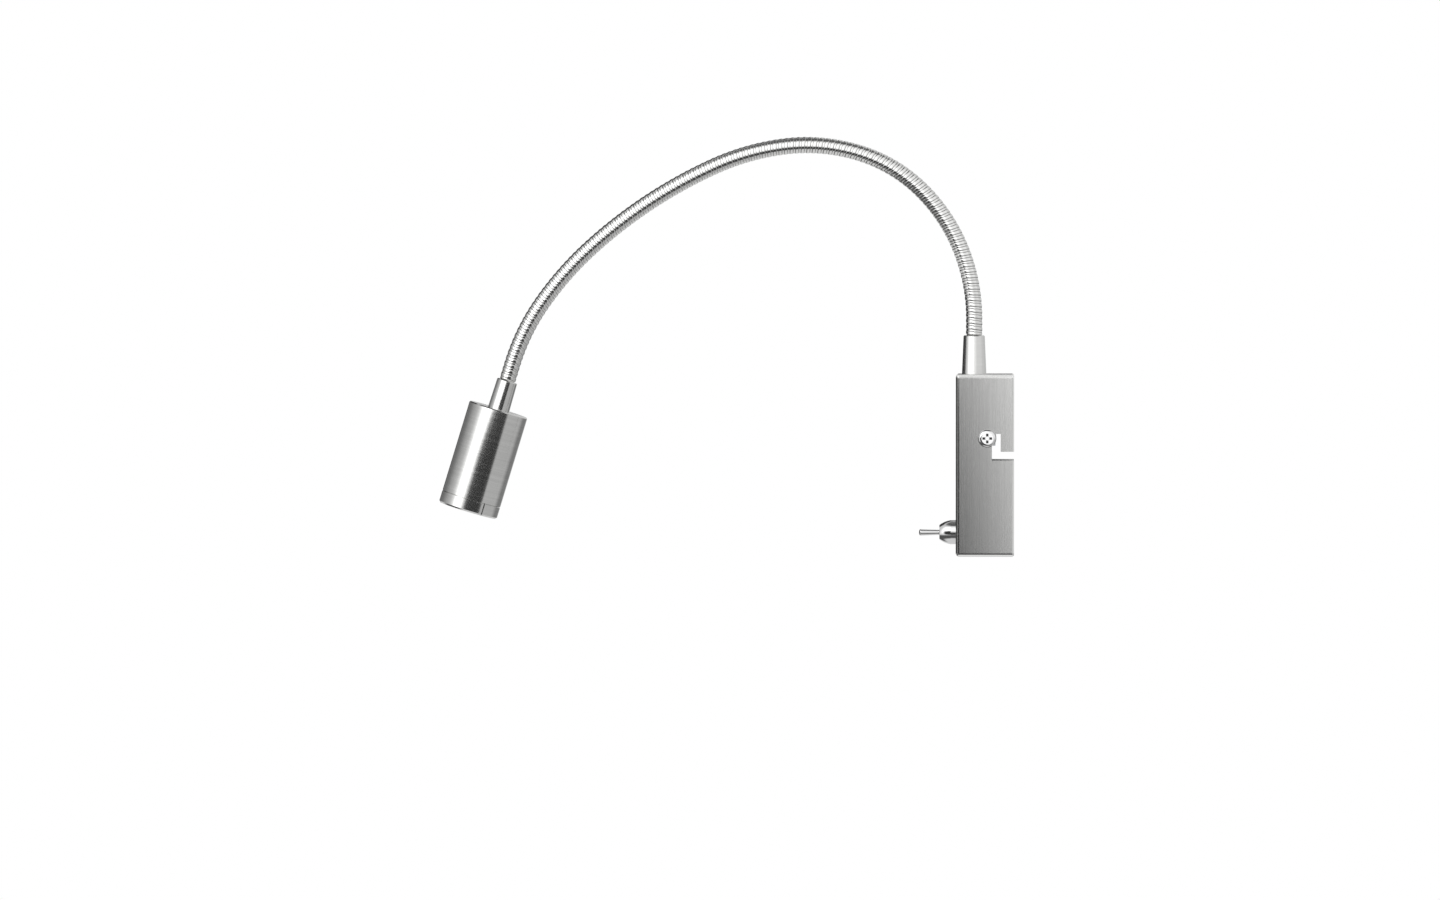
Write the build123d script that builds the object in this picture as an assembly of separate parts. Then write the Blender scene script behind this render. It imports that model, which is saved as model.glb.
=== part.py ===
from build123d import *
import math
import os

# Wall reading lamp, in millimetres. The wall is the plane y = 0, the room is towards -Y, up is +Z.
# The origin is the middle of the housing's open back, on the wall.

# Fits shared by many pieces
slip_gap = 0.1  # radial gap of a piece that slides into another by hand
thread_gap = 0.05  # radial gap between a screw and its nut
bearing_gap = 0.06  # radial gap of the switch lever's ball in its bushing

# Housing, a box open towards the wall
housing_width = 30.0
housing_depth = 29.0
housing_height = 91.0
housing_wall = 1.5
housing_front_radius = 1.8
housing_side_radius = 2.0
housing_back_radius = 1.0

# Stepped hanging slot in each side: in from the wall, up, then forward to the seat
slot_width = 4.4
slot_entry_height = 4.7
slot_rise_depth = 8.8
slot_seat_depth = 13.3
slot_seat_height = 13.6

# Clamp screws through the slots, and the nuts pressed into the bracket's lugs
clamp_thread = 4.0
clamp_screw_length = 8.0
clamp_head_diameter = 9.0
clamp_head_height = 2.6
clamp_head_radius = 1.6
clamp_recess_length = 4.8
clamp_recess_width = 1.2
clamp_recess_depth = 1.4
clamp_nut_width = 7.0
clamp_nut_height = 3.2

# Wall bracket: a plate with one lug down each side
bracket_sheet = 1.5
bracket_side_gap = 0.5  # between each lug and the housing's side
bracket_entry_gap = 1.7  # between the slot's entry leg and the plate
bracket_height = 31.4
lug_back_margin = 4.1  # from the clamp screw's axis to the lug's edge on the wall side
lug_front_margin = 4.3
lug_bottom_margin = 3.7
lug_arm_gap = 0.4  # between the slot's top and the arm that carries the lug
lug_arm_height = 9.8
wall_hole_diameter = 4.5
wall_hole_spacing = 22.0

# Bush for the supply cable, in the middle of the bracket's plate
bush_bore = 6.0
bush_sleeve = 8.4
bush_flange = 11.0
bush_flange_height = 1.6

# Base ferrule: the tapered sleeve on the housing that takes the neck's end
base_ferrule_height = 19.2
base_ferrule_bottom = 12.2
base_ferrule_top = 10.6
base_stud_diameter = 9.8
base_stud_length = 9.0
base_nut_width = 13.8
base_nut_height = 4.0
base_washer_rim = 0.3  # of the washer, past the nut's flats
base_washer_height = 1.0
base_washer_gap = 0.4  # between the washer and the housing's front wall
ferrule_edge = 0.4
stud_bore = 6.0

# Neck: a wound metal tube, ribbed along its whole length
rib_pitch = 2.87
rib_crest = 8.2
rib_groove = 7.1
rib_rise = 0.2  # shares of one pitch where the rib reaches its crest, leaves it and ends
rib_fall = 0.7
rib_end = 0.9
neck_bore = 5.0
neck_tail = 9.0  # length of plain tube inside each ferrule
end_ribs = 3  # straight ribs at each ferrule
tip_ribs = 10  # ribs of the first and last bent tube
tube_ribs = 10  # ribs of each tube between two flexing stretches
flex_ribs = 3  # ribs of each flexing stretch
neck_turns = (20.5, 24.5, 28.0, 24.0, 17.5, 9.0, 9.0, 13.0, 17.5)  # rest bend of each stretch, degrees
cable_diameter = 3.2

# Head: a turned can with the light in it, measured along its axis from the neck's end
head_ferrule_length = 15.0
head_ferrule_top = 10.3
head_ferrule_bottom = 10.9
head_stud_diameter = 8.0
head_stud_length = 7.4
head_washer_diameter = 13.0
head_washer_height = 0.8
head_nut_width = 12.0
head_nut_height = 3.5
head_diameter = 30.2
head_length = 53.0  # from the can's closed end to the ring's front edge
head_top_wall = 2.5
head_back_wall = 2.6  # wall of the can behind the heat sink's shoulder
head_front_wall = 1.6
head_edge = 0.5
ring_height = 6.2  # the front ring's visible height
ring_joint_chamfer = 0.3
ring_rim_chamfer = 0.8
ring_spigot_length = 3.0
ring_spigot_wall = 0.8
ring_lip = 1.6
ring_lip_width = 1.5  # of the lip, over the glass's edge
ring_slit_width = 0.8
ring_slit_depth = 0.6
ring_slit_angle = -30.0
glass_height = 2.0
seal_height = 1.2
seal_width = 1.7
holder_length = 14.0
holder_wall = 1.0
holder_seat_wall = 0.5
holder_seat_height = 1.4
lens_flange_height = 1.2
lens_side_gap = 0.3  # between the lens's front and the holder
lens_screw_gap = 0.2  # between the lens's back and the board's screws
lens_back_diameter = 8.0
lens_cavity_diameter = 5.0
lens_cavity_height = 3.2
board_gap = 1.5  # between the board's edge and the holder
board_height = 1.6
board_screw_inset = 2.5  # from the board's edge to its screws' axes
board_screw_thread = 2.5
board_screw_length = 6.0
board_screw_head = 4.4
board_screw_head_height = 1.6
emitter_size = 3.5
emitter_base_height = 0.8
emitter_dome = 2.8
sink_length = 17.0
sink_slot_width = 2.0
sink_slot_depth = 11.0
sink_slot_count = 5
sink_slot_pitch = 4.4
sink_cable_hole = 4.2

# Toggle switch, on an axis square to the housing's front, measured outwards from that front
switch_rise = 11.8  # of its axis above the housing's bottom
bushing_diameter = 6.3
bushing_bore = 4.8
bushing_reach = 7.0
dome_height = 8.2
dome_diameter = 12.0
dome_shoulder = 2.6  # height at which the dome starts to curve in
dome_middle_height = 5.8
dome_middle_diameter = 10.1
dome_front_diameter = 7.2
dome_front_hole = 5.8
lock_washer_diameter = 10.0
lock_washer_height = 0.6
switch_nut_width = 8.0
switch_nut_height = 2.0
switch_body_length = 13.0
switch_body_width = 8.0
switch_body_depth = 10.0
switch_body_wall = 1.0
switch_body_base = 1.4
switch_frame_sheet = 0.8
terminal_lug_length = 4.0
terminal_lug_width = 2.0
terminal_lug_sheet = 0.8
terminal_lug_spacing = 4.7
terminal_lug_inner = 0.7  # height of each lug's contact above the switch's floor
lever_pivot_height = 2.0
lever_length = 16.5
lever_root_diameter = 2.1
lever_tip_diameter = 3.2
lever_tip_radius = 0.6
lever_tail_length = 13.2
lever_tail_diameter = 1.4
lever_pin_diameter = 1.0
lever_pin_inset = 0.2  # from the bushing's outside to the pin's ends
lever_tilt = 12.0  # either side of the switch's axis
rocker_length = 8.0
rocker_width = 4.0
rocker_sheet = 0.5
rocker_bead = 0.7  # diameter of the bead that the rocker tilts on
rocker_gap = 0.05  # between the bead and the middle lug
rocker_tilt = 8.0

# Driver that feeds the light, stuck to the housing's front wall
pad_sheet = 1.0
driver_entry_gap = 1.5  # between the slot's entry leg and the driver's top
driver_switch_gap = 9.7  # from the switch's axis up to the driver's bottom
driver_width = 22.0
driver_wall = 1.2
driver_cable_reach = 4.4  # length of the neck's cable inside the driver
driver_inlet_back = 4.5  # from the driver's back to the holes for its wires
driver_inlet_spacing = 4.0
driver_board_gap = 0.4
driver_board_sheet = 1.2
transformer_size = 8.0
transformer_lid_gap = 2.4
capacitor_diameter = 6.3
capacitor_length = 8.0
component_drop = 7.0  # from the board's top edge to the components

# Terminal block for the supply, stuck to the driver's back
block_width = 16.0
block_depth = 9.5
block_height = 14.0
block_rise = 4.0  # from the driver's bottom to the block's bottom
block_wall_gap = 2.0  # between the block and the wall
block_pole_spacing = 8.0
block_way_diameter = 3.2
block_way_depth = 3.6  # from the block's pad to the wires' holes
block_screw_spacing = 7.2
block_screw_diameter = 3.0
block_screw_length = 3.4
block_screw_slot = 0.6

# Wires inside the housing
wire_diameter = 1.8
wire_bend = 2.0
wire_grip = 4.0  # length of wire inside a terminal or the driver
wire_drop = 3.0  # from the block or the driver down to where a wire turns
wire_standoff = 3.5  # from a switch lug's end to where its wire turns

# Places worked out from the sizes above
housing_top = housing_height / 2
cavity_width = housing_width - 2 * housing_wall
slot_top = slot_seat_height + slot_width / 2
bracket_width = cavity_width - 2 * bracket_side_gap
bracket_bottom = slot_entry_height + slot_width / 2 + bracket_entry_gap
bracket_middle = bracket_bottom + bracket_height / 2
lug_face = bracket_width / 2
base_washer_diameter = base_nut_width + 2 * base_washer_rim
neck_axis_depth = housing_depth - housing_wall - base_washer_gap - base_washer_diameter / 2
neck_start = housing_top + base_ferrule_height
tip_count = 2
tube_count = len(neck_turns) - tip_count
rib_count = tip_count * (end_ribs + tip_ribs) + tube_count * tube_ribs + (len(neck_turns) - 1) * flex_ribs
neck_length = rib_count * rib_pitch
tip_run = (tip_ribs + flex_ribs / 2) * rib_pitch
tube_run = (tube_ribs + flex_ribs) * rib_pitch
can_top = head_ferrule_length
ring_front = can_top + head_length
ring_back = ring_front - ring_height
can_bore = head_diameter - 2 * head_front_wall
can_back_bore = head_diameter - 2 * head_back_wall
spigot_diameter = can_bore - 2 * slip_gap
glass_pocket = spigot_diameter - 2 * ring_spigot_wall
glass_diameter = glass_pocket - 2 * slip_gap
ring_opening = glass_diameter - 2 * ring_lip_width
seal_inner = glass_diameter - 2 * seal_width
holder_bore = glass_diameter - 2 * holder_wall
holder_seat_bore = glass_diameter - 2 * holder_seat_wall
lens_front_diameter = holder_bore - 2 * lens_side_gap
board_diameter = holder_bore - 2 * board_gap
board_screw_circle = board_diameter - 2 * board_screw_inset
glass_front = ring_front - ring_lip
seal_front = glass_front - glass_height
holder_front = seal_front - seal_height
board_front = holder_front - holder_length
sink_front = board_front - board_height
sink_back = sink_front - sink_length
lens_back = board_front + board_screw_head_height + lens_screw_gap
lens_flange_back = holder_front - holder_seat_height
switch_height = switch_rise - housing_top
switch_stack = housing_wall + lock_washer_height + switch_nut_height
frame_back = -switch_stack - switch_frame_sheet
switch_floor = frame_back - switch_body_depth + switch_body_base
rocker_height = switch_floor + terminal_lug_inner + rocker_gap + rocker_bead / 2
lug_tip_height = frame_back - switch_body_depth - terminal_lug_length
lug_tip_y = -housing_depth - lug_tip_height
driver_top = slot_entry_height - slot_width / 2 - driver_entry_gap
driver_bottom = switch_height + driver_switch_gap
driver_front = -housing_depth + housing_wall + pad_sheet
block_back = -block_wall_gap
block_front = block_back - block_depth
driver_back = block_front - pad_sheet
driver_board_back = driver_front + driver_wall + driver_board_sheet
transformer_back = driver_back - driver_wall - transformer_lid_gap
block_bottom = driver_bottom + block_rise
block_top = block_bottom + block_height
block_way_y = block_front + block_way_depth
driver_inlet_y = driver_back - driver_inlet_back
switch_plane = Plane((0, -housing_depth, switch_height), x_dir=(1, 0, 0), z_dir=(0, -1, 0))


# Plain shapes along the local Z axis, standing on the given height
def disc(diameter, height, bottom=0.0):
    return Pos(0, 0, bottom + height / 2) * Cylinder(diameter / 2, height)


def ring(outer, inner, height, bottom=0.0):
    return disc(outer, height, bottom) - disc(inner, height, bottom)


def taper(bottom_diameter, top_diameter, height, bottom=0.0):
    return Pos(0, 0, bottom + height / 2) * Cone(bottom_diameter / 2, top_diameter / 2, height)


def hole(diameter, sheet):
    """Cutter for a round hole, two sheets deep on each side of the local origin."""
    return Cylinder(diameter / 2, 4 * sheet)


def hex_nut(width, bore, height, bottom=0.0):
    flats = RegularPolygon(width / 2, 6, major_radius=False)
    return Pos(0, 0, bottom) * extrude(flats, height) - disc(bore, height, bottom)


def block(x_span, y_span, z_span):
    middle = [(low + high) / 2 for low, high in (x_span, y_span, z_span)]
    size = [abs(high - low) for low, high in (x_span, y_span, z_span)]
    return Pos(*middle) * Box(*size)


# Housing with its holes and hanging slots
def slot_outline():
    half = slot_width / 2
    entry_end = -slot_rise_depth - half
    legs = (
        ((entry_end, slot_width), (slot_entry_height - half, slot_entry_height + half)),
        ((entry_end, -slot_rise_depth + half), (slot_entry_height - half, slot_top)),
        ((-slot_seat_depth, -slot_rise_depth), (slot_seat_height - half, slot_top)),
    )
    through = (-housing_width, housing_width)
    cut = [block(through, *leg) for leg in legs]
    seat = Pos(0, -slot_seat_depth, slot_seat_height) * Rot(0, 90, 0) * Cylinder(half, 2 * housing_width)
    return cut[0] + cut[1] + cut[2] + seat


def make_housing():
    shell = Pos(0, -housing_depth / 2, 0) * Box(housing_width, housing_depth, housing_height)
    shell = fillet(shell.edges().filter_by(Axis.Y), housing_side_radius)
    shell = fillet(shell.faces().sort_by(Axis.Y)[0].edges(), housing_front_radius)
    shell = fillet(shell.faces().sort_by(Axis.Y)[-1].edges(), housing_back_radius)
    half_width = cavity_width / 2
    half_height = housing_top - housing_wall
    shell -= block((-half_width, half_width), (-housing_depth + housing_wall, 0), (-half_height, half_height))
    shell -= Pos(0, -neck_axis_depth, housing_top) * hole(base_stud_diameter + 2 * slip_gap, housing_wall)
    shell -= switch_plane * hole(bushing_diameter + 2 * slip_gap, housing_wall)
    return shell - slot_outline()


# Wall bracket, its nuts, its screws and the cable's bush
def on_both_sides(piece):
    return Compound([piece, mirror(piece, Plane.YZ)])


def clamp_axis(piece):
    return Pos(0, -slot_seat_depth, slot_seat_height) * Rot(0, 90, 0) * piece


def make_wall_bracket():
    top = bracket_bottom + bracket_height
    plate = block((-lug_face, lug_face), (-bracket_sheet, 0), (bracket_bottom, top))
    lug_front = -slot_seat_depth - lug_front_margin
    lug_back = -slot_seat_depth + lug_back_margin
    arm_bottom = slot_top + lug_arm_gap
    arm_top = arm_bottom + lug_arm_height
    across = (lug_face - bracket_sheet, lug_face)
    arm = block(across, (lug_front, 0), (arm_bottom, arm_top))
    tab = block(across, (lug_front, lug_back), (slot_seat_height - lug_bottom_margin, arm_top))
    lug = arm + tab
    plate += lug + mirror(lug, Plane.YZ)
    plate -= clamp_axis(Cylinder(clamp_thread / 2 + slip_gap, 2 * bracket_width))
    for step in (-0.5, 0.5):
        height = bracket_middle + step * wall_hole_spacing
        plate -= Pos(0, 0, height) * Rot(90, 0, 0) * hole(wall_hole_diameter, bracket_sheet)
    return plate - Pos(0, 0, bracket_middle) * Rot(90, 0, 0) * hole(bush_sleeve + 2 * slip_gap, bracket_sheet)


def make_clamp_screws():
    shank = disc(clamp_thread, clamp_screw_length, housing_width / 2 - clamp_screw_length)
    head = disc(clamp_head_diameter, clamp_head_height, housing_width / 2)
    head = fillet(head.edges().sort_by(Axis.Z)[-1], clamp_head_radius)
    recess_bottom = housing_width / 2 + clamp_head_height - clamp_recess_depth
    half_length = clamp_recess_length / 2
    half_width = clamp_recess_width / 2
    deep = (recess_bottom, recess_bottom + clamp_head_height)
    cross = block((-half_length, half_length), (-half_width, half_width), deep)
    cross += block((-half_width, half_width), (-half_length, half_length), deep)
    return on_both_sides(clamp_axis(shank + head - cross))


def make_clamp_nuts():
    bottom = lug_face - bracket_sheet - clamp_nut_height
    nut = hex_nut(clamp_nut_width, clamp_thread + 2 * thread_gap, clamp_nut_height, bottom)
    return on_both_sides(clamp_axis(nut))


def make_cable_bush():
    sleeve = disc(bush_sleeve, bracket_sheet) + disc(bush_flange, bush_flange_height, bracket_sheet)
    sleeve -= disc(bush_bore, bracket_sheet + bush_flange_height)
    return Pos(0, 0, bracket_middle) * Rot(90, 0, 0) * sleeve


# Base ferrule and what holds it under the housing's top
def at_neck_base(piece):
    return Pos(0, -neck_axis_depth, housing_top) * piece


def make_base_ferrule():
    sleeve = taper(base_ferrule_bottom, base_ferrule_top, base_ferrule_height)
    sleeve = chamfer(sleeve.edges().sort_by(Axis.Z)[-1], ferrule_edge)
    sleeve += disc(base_stud_diameter, base_stud_length, -base_stud_length)
    sleeve -= disc(stud_bore, base_ferrule_height + base_stud_length, -base_stud_length)
    return at_neck_base(sleeve - disc(rib_groove + 2 * slip_gap, neck_tail, base_ferrule_height - neck_tail))


def make_ferrule_washer():
    return at_neck_base(ring(base_washer_diameter, base_stud_diameter + 2 * slip_gap, base_washer_height,
                             -housing_wall - base_washer_height))


def make_ferrule_nut():
    bottom = -housing_wall - base_washer_height - base_nut_height
    nut = hex_nut(base_nut_width, base_stud_diameter + 2 * thread_gap, base_nut_height, bottom)
    return at_neck_base(nut)


# Neck: runs of steady bend, all in the plane x = 0
neck_runs = [(end_ribs * rib_pitch, 0.0)]
for index, turn in enumerate(neck_turns):
    at_tip = index in (0, len(neck_turns) - 1)
    neck_runs.append((tip_run if at_tip else tube_run, turn))
neck_runs.append((end_ribs * rib_pitch, 0.0))


def neck_plane(along):
    """Plane square to the neck's centreline, at a distance along it from the base ferrule."""
    y, z = -neck_axis_depth, neck_start
    heading = math.pi / 2
    for index, (length, turn) in enumerate(neck_runs):
        last = index == len(neck_runs) - 1
        step = along if last else min(along, length)
        bend = math.radians(turn) * step / length
        chord = step if bend == 0 else step * math.sin(bend / 2) / (bend / 2)
        y += chord * math.cos(heading + bend / 2)
        z += chord * math.sin(heading + bend / 2)
        heading += bend
        along -= step
        if along <= 0:
            break
    return Plane((0, y, z), x_dir=(1, 0, 0), z_dir=(0, math.cos(heading), math.sin(heading)))


def neck_path(start, end):
    """Centreline from a start before the first bend to an end after the last one."""
    marks = [0.0]
    for length, turn in neck_runs:
        marks.append(marks[-1] + length)
    edges = [Edge.make_line(neck_plane(start).origin, neck_plane(marks[1]).origin)]
    for low, high in zip(marks[1:-2], marks[2:-1]):
        points = [neck_plane(along).origin for along in (low, (low + high) / 2, high)]
        edges.append(Edge.make_three_point_arc(*points))
    edges.append(Edge.make_line(neck_plane(marks[-2]).origin, neck_plane(end).origin))
    return Wire(edges)


def neck_rod(diameter, start, end):
    return sweep(neck_plane(start) * Circle(diameter / 2), path=neck_path(start, end))


def ribbed_tube(first_rib, ribs, tail_before=0.0, tail_after=0.0):
    """Ribs from the given one on, each through four circles, with plain tails where asked, not yet bored."""
    shares = ((0.0, rib_groove), (rib_rise, rib_crest), (rib_fall, rib_crest), (rib_end, rib_groove))
    circles = [((rib + share) * rib_pitch, diameter) for rib in range(first_rib, first_rib + ribs)
               for share, diameter in shares]
    circles.append(((first_rib + ribs) * rib_pitch, rib_groove))
    if tail_before:
        circles.insert(0, (circles[0][0] - tail_before, rib_groove))
    if tail_after:
        circles.append((circles[-1][0] + tail_after, rib_groove))
    return loft([neck_plane(along) * Circle(diameter / 2) for along, diameter in circles], ruled=True)


def make_neck():
    bore = neck_rod(neck_bore, -2 * neck_tail, neck_length + 2 * neck_tail)
    pieces = {}
    rib = 0
    count = len(neck_turns)
    for number in range(1, count + 1):
        first = number == 1
        final = number == count
        ribs = end_ribs + tip_ribs if first or final else tube_ribs
        tube = ribbed_tube(rib, ribs, neck_tail if first else 0.0, neck_tail if final else 0.0)
        pieces[f"neck_tube_{number}"] = tube - bore
        rib += ribs
        if not final:
            pieces[f"neck_flex_{number}"] = ribbed_tube(rib, flex_ribs) - bore
            rib += flex_ribs
    return pieces


def make_neck_cable():
    start = driver_top - driver_cable_reach - neck_start
    return neck_rod(cable_diameter, start, neck_length + sink_front)


# Head, built along its own axis from the neck's end
head_plane = neck_plane(neck_length)


def make_head_ferrule():
    sleeve = taper(head_ferrule_top, head_ferrule_bottom, head_ferrule_length)
    sleeve = chamfer(sleeve.edges().sort_by(Axis.Z)[0], ferrule_edge)
    sleeve += disc(head_stud_diameter, head_stud_length, head_ferrule_length)
    sleeve -= disc(neck_bore, head_ferrule_length + head_stud_length)
    return sleeve - disc(rib_groove + 2 * slip_gap, neck_tail)


def make_head_washer():
    bottom = can_top + head_top_wall
    return ring(head_washer_diameter, head_stud_diameter + 2 * slip_gap, head_washer_height, bottom)


def make_head_nut():
    bottom = can_top + head_top_wall + head_washer_height
    return hex_nut(head_nut_width, head_stud_diameter + 2 * thread_gap, head_nut_height, bottom)


def make_head_body():
    can = disc(head_diameter, ring_back - can_top, can_top)
    can = chamfer(can.edges().sort_by(Axis.Z)[0], head_edge)
    can = chamfer(can.edges().sort_by(Axis.Z)[-1], ring_joint_chamfer)
    can -= disc(can_bore, ring_back - sink_back, sink_back)
    can -= disc(can_back_bore, sink_back - can_top - head_top_wall, can_top + head_top_wall)
    return can - disc(head_stud_diameter + 2 * slip_gap, head_top_wall, can_top)


def make_heat_sink():
    outer = spigot_diameter
    sink = disc(outer, sink_length, sink_back)
    for step in range(sink_slot_count):
        x = (step - (sink_slot_count - 1) / 2) * sink_slot_pitch
        half = sink_slot_width / 2
        sink -= block((x - half, x + half), (-outer, outer), (sink_back, sink_back + sink_slot_depth))
    for x in (-board_screw_circle / 2, board_screw_circle / 2):
        pilot = disc(board_screw_thread + 2 * thread_gap, board_screw_length, sink_front - board_screw_length)
        sink -= Pos(x, 0, 0) * pilot
    return sink - disc(sink_cable_hole, sink_length, sink_back)


def make_led_board():
    board = disc(board_diameter, board_height, sink_front)
    for x in (-board_screw_circle / 2, board_screw_circle / 2):
        board -= Pos(x, 0, 0) * disc(board_screw_thread + 2 * slip_gap, board_height, sink_front)
    return board


def make_led_emitter():
    half = emitter_size / 2
    base_front = board_front + emitter_base_height
    base = block((-half, half), (-half, half), (board_front, base_front))
    dome = Pos(0, 0, base_front) * Sphere(emitter_dome / 2)
    below = disc(2 * emitter_size, emitter_dome, base_front - emitter_dome)
    return base + (dome - below)


def make_board_screws():
    under_board = board_screw_length - board_height
    screw = disc(board_screw_thread, board_screw_length, sink_front - under_board)
    screw += disc(board_screw_head, board_screw_head_height, board_front)
    return Compound([Pos(x, 0, 0) * screw for x in (-board_screw_circle / 2, board_screw_circle / 2)])


def make_lens_holder():
    holder = ring(glass_diameter, holder_bore, holder_length, board_front)
    return holder - disc(holder_seat_bore, holder_seat_height, lens_flange_back)


def make_lens():
    length = lens_flange_back + lens_flange_height - lens_back
    cone = taper(lens_back_diameter, lens_front_diameter, length, lens_back)
    flange = disc(holder_seat_bore - 2 * slip_gap, lens_flange_height, lens_flange_back)
    return cone + flange - disc(lens_cavity_diameter, lens_cavity_height, lens_back)


def make_glass_seal():
    return ring(glass_diameter, seal_inner, seal_height, holder_front)


def make_front_glass():
    return disc(glass_diameter, glass_height, seal_front)


def make_front_ring():
    rim = disc(head_diameter, ring_height, ring_back)
    rim = chamfer(rim.edges().sort_by(Axis.Z)[0], ring_joint_chamfer)
    rim = chamfer(rim.edges().sort_by(Axis.Z)[-1], ring_rim_chamfer)
    spigot_back = ring_back - ring_spigot_length
    rim += disc(spigot_diameter, ring_spigot_length, spigot_back)
    rim -= disc(glass_pocket, glass_front - spigot_back, spigot_back)
    rim -= disc(ring_opening, ring_lip, glass_front)
    half = ring_slit_width / 2
    outer = head_diameter / 2
    slit = block((outer - ring_slit_depth, 2 * outer), (-half, half), (ring_back, ring_front))
    for turn in (ring_slit_angle, ring_slit_angle + 180):
        rim -= Rot(0, 0, turn) * slit
    return rim


# Toggle switch, built along its own axis, outwards from the housing's front
def make_dome_nut():
    shoulder = (dome_diameter / 2, dome_shoulder)
    middle = (dome_middle_diameter / 2, dome_middle_height)
    front = (dome_front_diameter / 2, dome_height)
    outline = Curve() + [
        Polyline(front, (0, dome_height), (0, 0), (dome_diameter / 2, 0), shoulder),
        ThreePointArc(shoulder, middle, front),
    ]
    dome = revolve(Plane.XZ * make_face(outline), Axis.Z)
    dome -= disc(bushing_diameter + 2 * thread_gap, bushing_reach + slip_gap)
    return dome - disc(dome_front_hole, dome_height)


def lever_pin(diameter, length):
    return Pos(0, 0, lever_pivot_height) * Rot(90, 0, 0) * Cylinder(diameter / 2, length)


def make_bushing():
    tube = ring(bushing_diameter, bushing_bore, switch_stack + bushing_reach, -switch_stack)
    return tube - lever_pin(lever_pin_diameter + 2 * thread_gap, 2 * bushing_diameter)


def make_lock_washer():
    return ring(lock_washer_diameter, bushing_diameter + 2 * slip_gap, lock_washer_height,
                -housing_wall - lock_washer_height)


def make_switch_nut():
    return hex_nut(switch_nut_width, bushing_diameter + 2 * thread_gap, switch_nut_height, -switch_stack)


def make_switch_frame():
    plate = Pos(0, 0, frame_back + switch_frame_sheet / 2) * Box(
        switch_body_length, switch_body_width, switch_frame_sheet)
    return plate - disc(bushing_bore, switch_frame_sheet, frame_back)


def terminal_lugs(grow):
    half_sheet = terminal_lug_sheet / 2 + grow
    half_width = terminal_lug_width / 2 + grow
    top = switch_floor + terminal_lug_inner
    return [block((x - half_sheet, x + half_sheet), (-half_width, half_width), (lug_tip_height, top))
            for x in (0.0, terminal_lug_spacing)]


def make_switch_body():
    half_length = switch_body_length / 2
    half_width = switch_body_width / 2
    bottom = frame_back - switch_body_depth
    case = block((-half_length, half_length), (-half_width, half_width), (bottom, frame_back))
    inner_length = half_length - switch_body_wall
    inner_width = half_width - switch_body_wall
    case -= block((-inner_length, inner_length), (-inner_width, inner_width), (switch_floor, frame_back))
    return case - terminal_lugs(thread_gap)


def make_switch_lever():
    bat = taper(lever_root_diameter, lever_tip_diameter, lever_length)
    bat = fillet(bat.edges().sort_by(Axis.Z)[-1], lever_tip_radius)
    ball = Sphere(bushing_bore / 2 - bearing_gap)
    tail = disc(lever_tail_diameter, lever_tail_length, -lever_tail_length)
    lever = Pos(0, 0, lever_pivot_height) * Rot(0, lever_tilt, 0) * (bat + ball + tail)
    return lever + lever_pin(lever_pin_diameter, bushing_diameter - 2 * lever_pin_inset)


def make_switch_rocker():
    plate = Rot(0, -rocker_tilt, 0) * Box(rocker_length, rocker_width, rocker_sheet)
    bead = Rot(90, 0, 0) * Cylinder(rocker_bead / 2, rocker_width)
    return Pos(0, 0, rocker_height) * (plate + bead)


# Driver and terminal block
def make_driver_pad():
    half = driver_width / 2
    return block((-half, half), (-housing_depth + housing_wall, driver_front), (driver_bottom, driver_top))


def make_driver_case():
    half = driver_width / 2
    inner = half - driver_wall
    case = block((-half, half), (driver_front, driver_back - driver_wall), (driver_bottom, driver_top))
    case -= block((-inner, inner), (driver_front + driver_wall, driver_back - driver_wall),
                  (driver_bottom + driver_wall, driver_top - driver_wall))
    case -= Pos(0, -neck_axis_depth, driver_top) * hole(cable_diameter + 2 * slip_gap, driver_wall)
    for step in (1, 2):
        inlet = Pos(-step * driver_inlet_spacing, driver_inlet_y, driver_bottom)
        case -= inlet * hole(wire_diameter + 2 * slip_gap, driver_wall)
    return case


def make_driver_lid():
    half = driver_width / 2
    return block((-half, half), (driver_back - driver_wall, driver_back), (driver_bottom, driver_top))


def make_driver_board():
    half = driver_width / 2 - driver_wall - driver_board_gap
    low = driver_bottom + driver_wall + driver_board_gap
    high = driver_top - driver_wall - driver_board_gap
    return block((-half, half), (driver_front + driver_wall, driver_board_back), (low, high))


def make_driver_components():
    top = driver_top - driver_wall - driver_board_gap - component_drop
    core = block((0, transformer_size), (driver_board_back, transformer_back), (top - transformer_size, top))
    radius = capacitor_diameter / 2
    can = disc(capacitor_diameter, capacitor_length, top - capacitor_length)
    return Compound([core, Pos(-radius - driver_board_gap, driver_board_back + radius, 0) * can])


def make_terminal_pad():
    half = block_width / 2
    return block((-half, half), (driver_back, block_front), (block_bottom, block_top))


def block_screw_places():
    middle = (block_top + block_bottom) / 2
    return [(side * block_pole_spacing / 2, middle + step * block_screw_spacing / 2)
            for side in (-1, 1) for step in (-1, 1)]


def make_terminal_block():
    half = block_width / 2
    body = block((-half, half), (block_front, block_back), (block_bottom, block_top))
    for side in (-1, 1):
        way = Cylinder(block_way_diameter / 2, 2 * block_height)
        body -= Pos(side * block_pole_spacing / 2, block_way_y, (block_top + block_bottom) / 2) * way
    for x, z in block_screw_places():
        well = disc(block_screw_diameter + 2 * thread_gap, block_back - block_way_y)
        body -= Pos(x, block_back, z) * Rot(90, 0, 0) * well
    return body


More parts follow.
